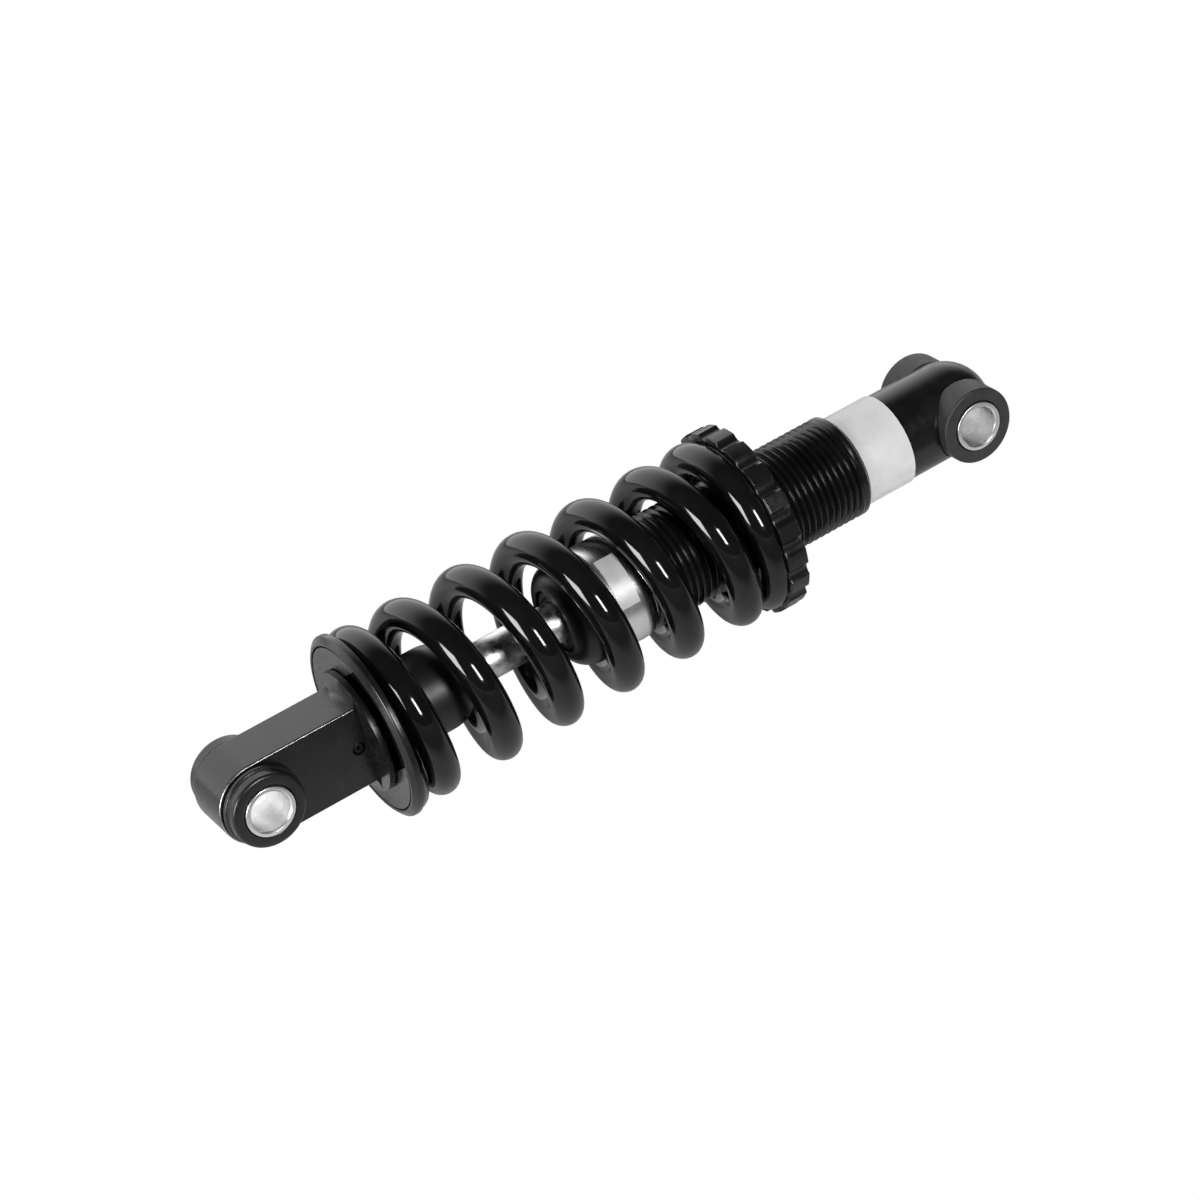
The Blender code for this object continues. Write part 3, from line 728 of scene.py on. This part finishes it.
def shaft():
    """The rod, with a thinner tail that carries the piston and a thinner foot in the eye."""
    low, high = span("shaft")
    foot_end = span("bump_stop")[0]
    shoulder = span("rebound_shim")[0] - GAP
    tail = 2.5
    rod = 4.2
    foot = 3.0
    chamfer = 0.3
    outline = [(0.0, high), (tail - chamfer, high), (tail, high - chamfer), (tail, shoulder)]
    outline += [(rod - 0.45, shoulder), (rod - 0.15, shoulder - 0.12), (rod, shoulder - 0.5)]
    outline += [(rod, foot_end), (foot, foot_end), (foot, low + chamfer), (foot - chamfer, low), (0.0, low)]
    piece = turned("shaft_chromed", outline, closed=False)
    place_piece(piece, CHROME, "shaft_assembly", "hard_chrome", "shaft")


# Bore of the pieces that are held on the shaft's tail.
TAIL_BORE = 2.8


def piston_group():
    """The top-out rubber, the shim and the piston with its ring, in their order on the shaft."""
    rubber_bore = 4.5
    ring_bore = 6.85
    low, high = span("top_out_rubber")
    outline = rounded(ring(low, high, rubber_bore, radius_of("top_out_rubber")), 0.4)
    piece = turned("top_out_rubber_ring", outline, segments=96)
    place_piece(piece, RUBBER, "shaft_assembly", "black_rubber", "top_out_rubber")
    low, high = span("rebound_shim")
    outline = rounded(ring(low, high, TAIL_BORE, radius_of("rebound_shim")), 0.08, 2)
    piece = turned("rebound_shim_pressed", outline, segments=96)
    place_piece(piece, STEEL, "shaft_assembly", "plain_steel", "rebound_shim")
    low, high = span("piston")
    radius = radius_of("piston")
    land = 1.4
    groove = 6.5
    outline = [(radius, high), (radius, high - land), (groove, high - land), (groove, low + land)]
    outline += [(radius, low + land), (radius, low), (TAIL_BORE, low), (TAIL_BORE, high)]
    outline = rounded(outline, [0.3, 0.1, 0.1, 0.1, 0.1, 0.3, 0.15, 0.15], 2)
    piece = turned("piston_ported", outline, segments=96)
    ports = 4
    port_radius = 0.8
    port_circle = 4.6
    for i in range(ports):
        angle = math.radians(45 + 360 / ports * i)

        def port(r, station, turn, a=angle):
            x, y, z = along_shock(r, station, turn)
            return (x, y - port_circle * math.sin(a), z + port_circle * math.cos(a))

        start, end = low - CUTTER_MARGIN, high + CUTTER_MARGIN
        cut(piece, cylinder("port_cutter", port, start, end, port_radius, 32))
    shaded(piece)
    place_piece(piece, POLISHED, "shaft_assembly", "polished_aluminium", "piston")
    low, high = span("piston_ring")
    outline = rounded(ring(low, high, ring_bore, radius_of("piston_ring")), 0.12, 2)
    piece = turned("piston_ring_split", outline, segments=96)
    place_piece(piece, BRONZE, "shaft_assembly", "bronze", "piston_ring")


def piston_nut():
    """A hexagon nut with both faces chamfered by a cone."""
    low, high = span("piston_nut")
    corner = 4.9
    mesh = bpy.data.meshes.new("piston_nut_hexagon")
    solid = bmesh.new()
    bmesh.ops.create_cone(solid, cap_ends=True, segments=6, radius1=corner * MM, radius2=corner * MM,
                          depth=(high - low) * MM)
    bmesh.ops.rotate(solid, verts=solid.verts, cent=(0, 0, 0), matrix=Matrix.Rotation(math.pi / 2, 3, "Y"))
    bmesh.ops.translate(solid, verts=solid.verts, vec=(LOWER_EYE_X + (low + high) / 2 * MM, 0, 0))
    solid.to_mesh(mesh)
    solid.free()
    nut = new_object("piston_nut_hexagon", mesh)
    start, end = low - CUTTER_MARGIN, high + CUTTER_MARGIN
    cut(nut, cylinder("nut_cutter", along_shock, start, end, TAIL_BORE, 64))
    drop = 0.45
    face = corner - 0.75
    past = corner + 0.1
    cone = [(0.0, low), (face, low), (past, low + drop), (past, high - drop), (face, high), (0.0, high)]
    cut(nut, turned("nut_chamfer", cone, segments=96, closed=False), "INTERSECT")
    shaded(nut, math.radians(20))
    place_piece(nut, STEEL, "shaft_assembly", "plain_steel", "piston_nut")


def bump_stop():
    """A rubber stop on the shaft, with a rounded nose towards the gland cap."""
    low, high = span("bump_stop")
    radius = radius_of("bump_stop")
    nose = 5.0
    nose_radius = 6.2
    bore = 4.5
    mouth = 0.3
    outline = arc((nose_radius, high - nose), (radius - nose_radius, nose), 90, 0, 20)
    outline += [(radius, low + 0.7), (radius - 0.2, low + 0.2), (radius - 0.7, low)]
    outline += [(bore, low), (bore, high - mouth), (bore + mouth, high)]
    piece = turned("bump_stop_moulded", outline)
    place_piece(piece, RUBBER, "shaft_assembly", "black_rubber", "bump_stop")


# ---------------------------------------------------------------- lower eye

def prism(name, outline, low, high, place):
    """A flat (u, v) outline, thick from low to high in w. place turns (u, v, w) into a point."""
    count = len(outline)
    verts = [place(u, v, w) for w in (low, high) for u, v in outline]
    faces = [tuple(range(count)), tuple(range(2 * count - 1, count - 1, -1))]
    for i in range(count):
        k = (i + 1) % count
        faces.append((i, k, count + k, count + i))
    return mesh_object(name, verts, faces)


def lower_eye():
    """A round-ended bar with softened edges, flared out to a disc that the washer bears on."""
    low, high = span("lower_eye")
    half_height = -low
    spigot_depth = 5.4
    half_thickness = span("lower_bush_left", 1)[0] + spigot_depth
    radius = radius_of("lower_eye")
    shoulder = high - 1.2
    bar_end = high - 0.4
    edge_radius = 0.45
    x0 = LOWER_EYE_X / MM
    outline = arc((0.0, 0.0), (half_height, half_height), 90, 270, 48)
    outline += [(bar_end, -half_height), (bar_end, half_height)]
    bar = prism("lower_eye_milled", outline, -half_thickness, half_thickness, lambda u, v, w: (x0 + u, w, v))
    soften(bar, edge_radius)
    start = 20.9
    foot = half_height - 0.1
    edge = radius - 0.2
    flare_end = high - 0.5
    profile = [(0.0, flare_end), (edge, flare_end)]
    profile += arc((edge, start), (foot - edge, shoulder - start), 90, 0, 14)
    profile += [(0.0, start)]
    flare = turned("flare", profile, segments=128, closed=False)
    flat = half_thickness - 0.05
    far = 40.0
    square = [(-far, -flat), (far, -flat), (far, flat), (-far, flat)]
    slab = prism("flats", square, -far, far, lambda u, v, w: (x0 + u, v, w))
    cut(flare, slab, "INTERSECT")
    cut(bar, flare, "UNION")
    disc = [(0.0, high), (radius, high), (radius, shoulder), (0.0, shoulder)]
    cut(bar, turned("disc", disc, closed=False), "UNION")
    cut(bar, cylinder("bore_cutter", about_bolt(LOWER_EYE_X), -CUTTER_END, CUTTER_END, EYE_HOLE))
    socket_start, socket_end = span("shaft")[0] - GAP, 30.0
    socket_radius = 3.3
    cut(bar, cylinder("socket_cutter", along_shock, socket_start, socket_end, socket_radius, 64))
    screw_depth = 2.0
    screw_radius = 1.4
    cut(bar, cylinder("screw_cutter", set_screw_place, screw_depth, CUTTER_END, screw_radius, 48))
    shaded(bar)
    place_piece(bar, SATIN, "shaft_assembly", "gloss_black", "lower_eye")
    # Worn paint and a painted highlight: lighter bare metal on the bar's softened edges.
    wear_and_highlight_edges(bar, start - 0.4)


def wear_and_highlight_edges(bar, end):
    """Bare metal on the softened edges of the bar's two sides, up to a station: worn paint, and also a
    painted highlight along the edges.
    """
    bar.data.materials.append(WORN_AND_HIGHLIGHT)
    least_sideways, most_sideways = 0.5, 0.9
    for face in bar.data.polygons:
        on_edge = least_sideways < abs(face.normal.y) < most_sideways
        if on_edge and face.center.x < LOWER_EYE_X + end * MM:
            face.material_index = 1


def set_screw_place(radius, station, angle):
    """Points about the set screw, which lies along -Y between the eye's bore and its shoulder."""
    low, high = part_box("set_screw")
    middle = (low + high) / 2 / MM
    return (middle.x + radius * math.sin(angle), -station, middle.z + radius * math.cos(angle))


def set_screw():
    """A grub screw with chamfered ends and a hexagon socket."""
    offsets = [abs(v) for v in span("set_screw", 1)]
    low, high = min(offsets), max(offsets)
    radius = 1.1
    chamfer = 0.25
    end = radius - chamfer
    outline = [(0.0, high), (end, high), (radius, high - chamfer), (radius, low + chamfer)]
    outline += [(end, low), (0.0, low)]
    screw = turned("set_screw_socketed", outline, set_screw_place, 48, False)
    key_radius = 0.62
    key_depth = 1.3
    key = cylinder("key_cutter", set_screw_place, high - key_depth, high + CUTTER_MARGIN, key_radius, 6)
    cut(screw, key)
    shaded(screw)
    place_piece(screw, MATTE, "shaft_assembly", "plain_steel", "set_screw")


# ---------------------------------------------------------------- spring and its seats

def spring_seat():
    """A plate with a chamfered rim, which holds the retaining washer."""
    low, high = span("spring_seat")
    radius = radius_of("spring_seat")
    rim_bore = radius_of("retaining_washer") + GAP
    plate = high - 0.7
    bore = radius_of("bump_stop") + 0.4
    chamfer = (1.25, 0.9)
    outline = [(radius, high), (radius, low + chamfer[1]), (radius - chamfer[0], low), (rim_bore, low)]
    outline += [(rim_bore, plate), (bore, plate), (bore, high)]
    outline = rounded(outline, [0.3, 0.5, 0.2, 0.15, 0.0, 0.15, 0.15])
    piece = turned("spring_seat_pressed", outline, segments=160)
    place_piece(piece, SATIN, "lower_seat", "gloss_black", "spring_seat")


def retaining_washer():
    """A washer with a slot as wide as its bore, open on one side so that it slips over the shaft."""
    low, high = span("retaining_washer")
    radius = radius_of("retaining_washer")
    slot = 10.2
    outline = rounded(ring(low, high, slot, radius), 0.15, 2)
    piece = turned("retaining_washer_slotted", outline, segments=160)
    direction = math.radians(33.0)
    length = 2 * radius
    square = [(0.0, -slot), (length, -slot), (length, slot), (0.0, slot)]
    x0 = LOWER_EYE_X / MM

    def across(u, v, w):
        y = -u * math.cos(direction) - v * math.sin(direction)
        z = u * math.sin(direction) - v * math.cos(direction)
        return (x0 + w, y, z)

    cut(piece, prism("slot_cutter", square, low - CUTTER_MARGIN, high + CUTTER_MARGIN, across))
    shaded(piece)
    place_piece(piece, SATIN, "lower_seat", "satin_black", "retaining_washer")


# The spring: its wire's radius, its coils' middle radius, where the wire starts and ends, in
# turns with every whole number at the top, and the station of its first tip.
WIRE = 3.35
COIL = 15.7
FIRST_TURN, LAST_TURN = -1.72, 5.5
FIRST_TIP_STATION = 25.6
# (turns from the wire's tip, pitch in millimetres)
PITCH_STAGES = ((0.0, 13.0), (0.10, 13.0), (0.35, 4.4), (0.78, 4.4), (1.07, 14.18))


def pitch_at(turn):
    """The pitch in millimetres a turn: steep at the tip, closed for most of a turn, then open."""
    from_tip = min(turn - FIRST_TURN, LAST_TURN - turn)
    for (start, low), (end, high) in zip(PITCH_STAGES, PITCH_STAGES[1:]):
        if from_tip <= end:
            return low + (high - low) * (from_tip - start) / (end - start)
    return PITCH_STAGES[-1][1]


def spring():
    """The wire swept along its helix, with both ends ground flat."""
    steps_per_turn = 80
    sides = 32
    count = round((LAST_TURN - FIRST_TURN) * steps_per_turn)
    step = (LAST_TURN - FIRST_TURN) / count
    start, end = span("spring")
    station = FIRST_TIP_STATION
    verts, faces = [], []
    for i in range(count + 1):
        turn = FIRST_TURN + i * step
        angle = 2 * math.pi * turn
        outward = Vector((0.0, -math.sin(angle), math.cos(angle)))
        round_turn = 2 * math.pi * COIL
        forward = Vector((pitch_at(turn), -round_turn * math.cos(angle), -round_turn * math.sin(angle)))
        forward.normalize()
        sideways = forward.cross(outward).normalized()
        centre = Vector(along_shock(COIL, station, angle))
        for k in range(sides):
            around = 2 * math.pi * k / sides
            verts.append(centre + WIRE * (math.cos(around) * outward + math.sin(around) * sideways))
        station += pitch_at(turn + step / 2) * step
    for i in range(count):
        for k in range(sides):
            m = (k + 1) % sides
            faces.append((i * sides + k, i * sides + m, (i + 1) * sides + m, (i + 1) * sides + k))
    faces.append(tuple(range(sides)))
    faces.append(tuple(range(count * sides, (count + 1) * sides)))
    wire = mesh_object("coil_spring_wound", verts, faces)
    for place, outward in ((start, -1.0), (end, 1.0)):
        grind(wire, LOWER_EYE_X + place * MM, outward)
    shaded(wire)
    apply_modifiers(wire)
    place_piece(wire, GLOSS, "damper", "gloss_black", "spring")
    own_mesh(wire)


def grind(piece, x, outward):
    """Cuts the piece flat at a plane across the shock and closes the cut."""
    solid = bmesh.new()
    solid.from_mesh(piece.data)
    everything = list(solid.verts) + list(solid.edges) + list(solid.faces)
    bmesh.ops.bisect_plane(
        solid, geom=everything, dist=0.0000001, plane_co=(x, 0, 0), plane_no=(outward, 0, 0),
        clear_outer=True,
    )
    open_edges = [edge for edge in solid.edges if edge.is_boundary]
    bmesh.ops.holes_fill(solid, edges=open_edges)
    bmesh.ops.recalc_face_normals(solid, faces=solid.faces)
    solid.to_mesh(piece.data)
    solid.free()


def thrust_washer():
    low, high = span("thrust_washer")
    bore = 11.3
    outline = rounded(ring(low, high, bore, radius_of("thrust_washer")), 0.12, 2)
    piece = turned("thrust_washer_ground", outline, segments=160)
    place_piece(piece, STEEL, "thrust_washer", "plain_steel", "thrust_washer")


# The collar's rim, with its scoops' depth in millimetres.
LOBES = 19
SCOOP_DEPTH = 0.9
STEPS_PER_LOBE = 24


def preload_collar():
    """The collar's rim is lobed: half of each pitch is a land, and half a shallow round scoop."""
    low, high = span("preload_collar")
    radius = span("preload_collar", 1)[1]
    bore = 11.2
    pocket_end = span("thrust_washer")[1] + GAP
    pocket = radius_of("thrust_washer") + GAP
    edge = 0.35
    small = 0.15
    chamfer = 0.4
    lobe = 2 * math.pi / LOBES
    half_width = math.pi * radius / (2 * LOBES)
    cutter = (half_width ** 2 + SCOOP_DEPTH ** 2) / (2 * SCOOP_DEPTH)

    def rim(drop, station):
        def row(angle):
            from_middle = (angle + math.pi + lobe / 2) % lobe - lobe / 2
            across = abs(from_middle) * radius
            dip = 0.0
            if across < half_width:
                dip = math.sqrt(cutter ** 2 - across ** 2) - (cutter - SCOOP_DEPTH)
            return (radius - drop - dip, station)
        return row

    def plain(point):
        return lambda angle: point

    rounding = arc((edge, edge), (-edge, -edge), 0, 90, 4)
    rows = [rim(drop, high - depth) for drop, depth in reversed(rounding)]
    rows += [rim(drop, low + depth) for drop, depth in rounding]
    inside = [(pocket + small, low), (pocket, low + small), (pocket, pocket_end)]
    inside += [(bore + chamfer, pocket_end), (bore, pocket_end + chamfer)]
    inside += [(bore, high - chamfer), (bore + chamfer, high)]
    rows += [plain(point) for point in inside]
    collar = lathed("preload_collar_lobed", rows, along_shock, LOBES * STEPS_PER_LOBE)
    place_piece(collar, SATIN, "preload_collar", "satin_black", "preload_collar")


# ---------------------------------------------------------------- stage

def smooth_step(tree, value, start, end, low, high):
    """A value that goes smoothly from low to high as another goes from start to end."""
    node = tree.nodes.new("ShaderNodeMapRange")
    node.interpolation_type = "SMOOTHSTEP"
    node.inputs["From Min"].default_value = start
    node.inputs["From Max"].default_value = end
    node.inputs["To Min"].default_value = low
    node.inputs["To Max"].default_value = high
    tree.links.new(value, node.inputs["Value"])
    return node.outputs["Result"]


def seen_as(tree, ordinary, seen, output):
    """Shows one shader to the camera, and another to reflections and to the light that spreads."""
    path = tree.nodes.new("ShaderNodeLightPath")
    mix = tree.nodes.new("ShaderNodeMixShader")
    tree.links.new(path.outputs["Is Camera Ray"], mix.inputs["Fac"])
    tree.links.new(ordinary, mix.inputs[1])
    tree.links.new(seen, mix.inputs[2])
    tree.links.new(mix.outputs["Shader"], tree.nodes[output].inputs["Surface"])


def coordinate(tree, kind, axis):
    """One coordinate of a point on a stage piece, or of a direction in the sky."""
    coordinates = tree.nodes.new("ShaderNodeTexCoord")
    split = tree.nodes.new("ShaderNodeSeparateXYZ")
    tree.links.new(coordinates.outputs[kind], split.inputs["Vector"])
    return split.outputs[axis]


def floor():
    """A white sweep, seen evenly lit. In what it throws back at the shock it is dark in front."""
    size = 8.0
    drop = 0.0004
    dark, pale = 0.20, 0.85
    dark_until, pale_from = -0.055, -0.028
    z = CAD_BOX[0].z - drop
    corners = [(-size, -size, z), (size, -size, z), (size, size, z), (-size, size, z)]
    mesh = bpy.data.meshes.new("floor")
    mesh.from_pydata(corners, [], [(0, 1, 2, 3)])
    plane = new_object("floor", mesh)
    material = bpy.data.materials.new("white_sweep")
    material.use_nodes = True
    tree = material.node_tree
    shader = tree.nodes["Principled BSDF"]
    across = coordinate(tree, "Object", "Y")
    colour = smooth_step(tree, across, dark_until, pale_from, dark, pale)
    tree.links.new(colour, shader.inputs["Base Color"])
    shader.inputs["Roughness"].default_value = 0.9
    shader.inputs["Specular IOR Level"].default_value = 0.0
    lit = tree.nodes.new("ShaderNodeEmission")
    lit.inputs["Strength"].default_value = 1.0
    seen_as(tree, shader.outputs["BSDF"], lit.outputs["Emission"], "Material Output")
    mesh.materials.append(material)


def world():
    """Studio surroundings: a pale wall behind, and dark overhead and behind the camera."""
    dark, pale = 0.06, 1.6
    dark_until, pale_from = 0.25, 0.85
    scene_world = bpy.data.worlds.new("studio")
    bpy.context.scene.world = scene_world
    scene_world.use_nodes = True
    tree = scene_world.node_tree
    background = tree.nodes["Background"]
    across = coordinate(tree, "Generated", "Y")
    strength = smooth_step(tree, across, dark_until, pale_from, dark, pale)
    tree.links.new(strength, background.inputs["Strength"])
    seen = tree.nodes.new("ShaderNodeBackground")
    for shader in (background, seen):
        shader.inputs["Color"].default_value = (1.0, 1.0, 1.0, 1.0)
    seen_as(tree, background.outputs["Background"], seen.outputs["Background"], "World Output")


def camera():
    """The photographer's place, to the right of the lower eye and above it."""
    data = bpy.data.cameras.new("camera")
    data.sensor_width = 36.0
    data.lens = 108.84
    data.clip_start = 0.01
    data.clip_end = 50.0
    data.dof.use_dof = False
    view = bpy.data.objects.new("camera", data)
    bpy.context.scene.collection.objects.link(view)
    right = Vector((0.8257, -0.5123, -0.2363)).normalized()
    back = -Vector((0.3340, 0.7814, -0.5271)).normalized()
    up = back.cross(right).normalized()
    right = up.cross(back)
    place = Vector((LOWER_EYE_X - 0.1570, -0.5546, 0.3735))
    turn = Matrix((right, up, back)).transposed().to_4x4()
    view.matrix_world = Matrix.Translation(place) @ turn
    bpy.context.scene.camera = view


def softbox(name, azimuth, elevation, distance, width, height, radiance):
    """A rectangular light that faces the shock. Azimuth 0 is towards +Y, and 90 degrees towards +X."""
    data = bpy.data.lights.new(name, "AREA")
    data.shape = "RECTANGLE"
    data.size = width
    data.size_y = height
    data.energy = math.pi * radiance * width * height
    light = bpy.data.objects.new(name, data)
    bpy.context.scene.collection.objects.link(light)
    azimuth, elevation = math.radians(azimuth), math.radians(elevation)
    level = math.cos(elevation)
    way = Vector((level * math.sin(azimuth), level * math.cos(azimuth), math.sin(elevation)))
    middle = (CAD_BOX[0] + CAD_BOX[1]) / 2
    light.location = middle + way * distance
    light.rotation_mode = "QUATERNION"
    light.rotation_quaternion = (middle - light.location).to_track_quat("-Z", "Y")


def lights():
    softbox("left_box", -104.0, 15.0, 0.9, 0.36, 0.42, 15.0)
    softbox("front_box", 176.0, 25.0, 1.0, 0.20, 0.36, 30.0)


camera()
floor()
world()
lights()

damper_body()
body_label()
bushes()
sleeves()
gland_cap()
wiper_seal()
shaft_seal()
head_o_ring()
head_housing()
head_label()
inner_damper_pieces()
shaft()
piston_group()
piston_nut()
bump_stop()
lower_eye()
set_screw()
spring_seat()
retaining_washer()
spring()
thrust_washer()
preload_collar()

bpy.context.scene.view_settings.view_transform = "Standard"
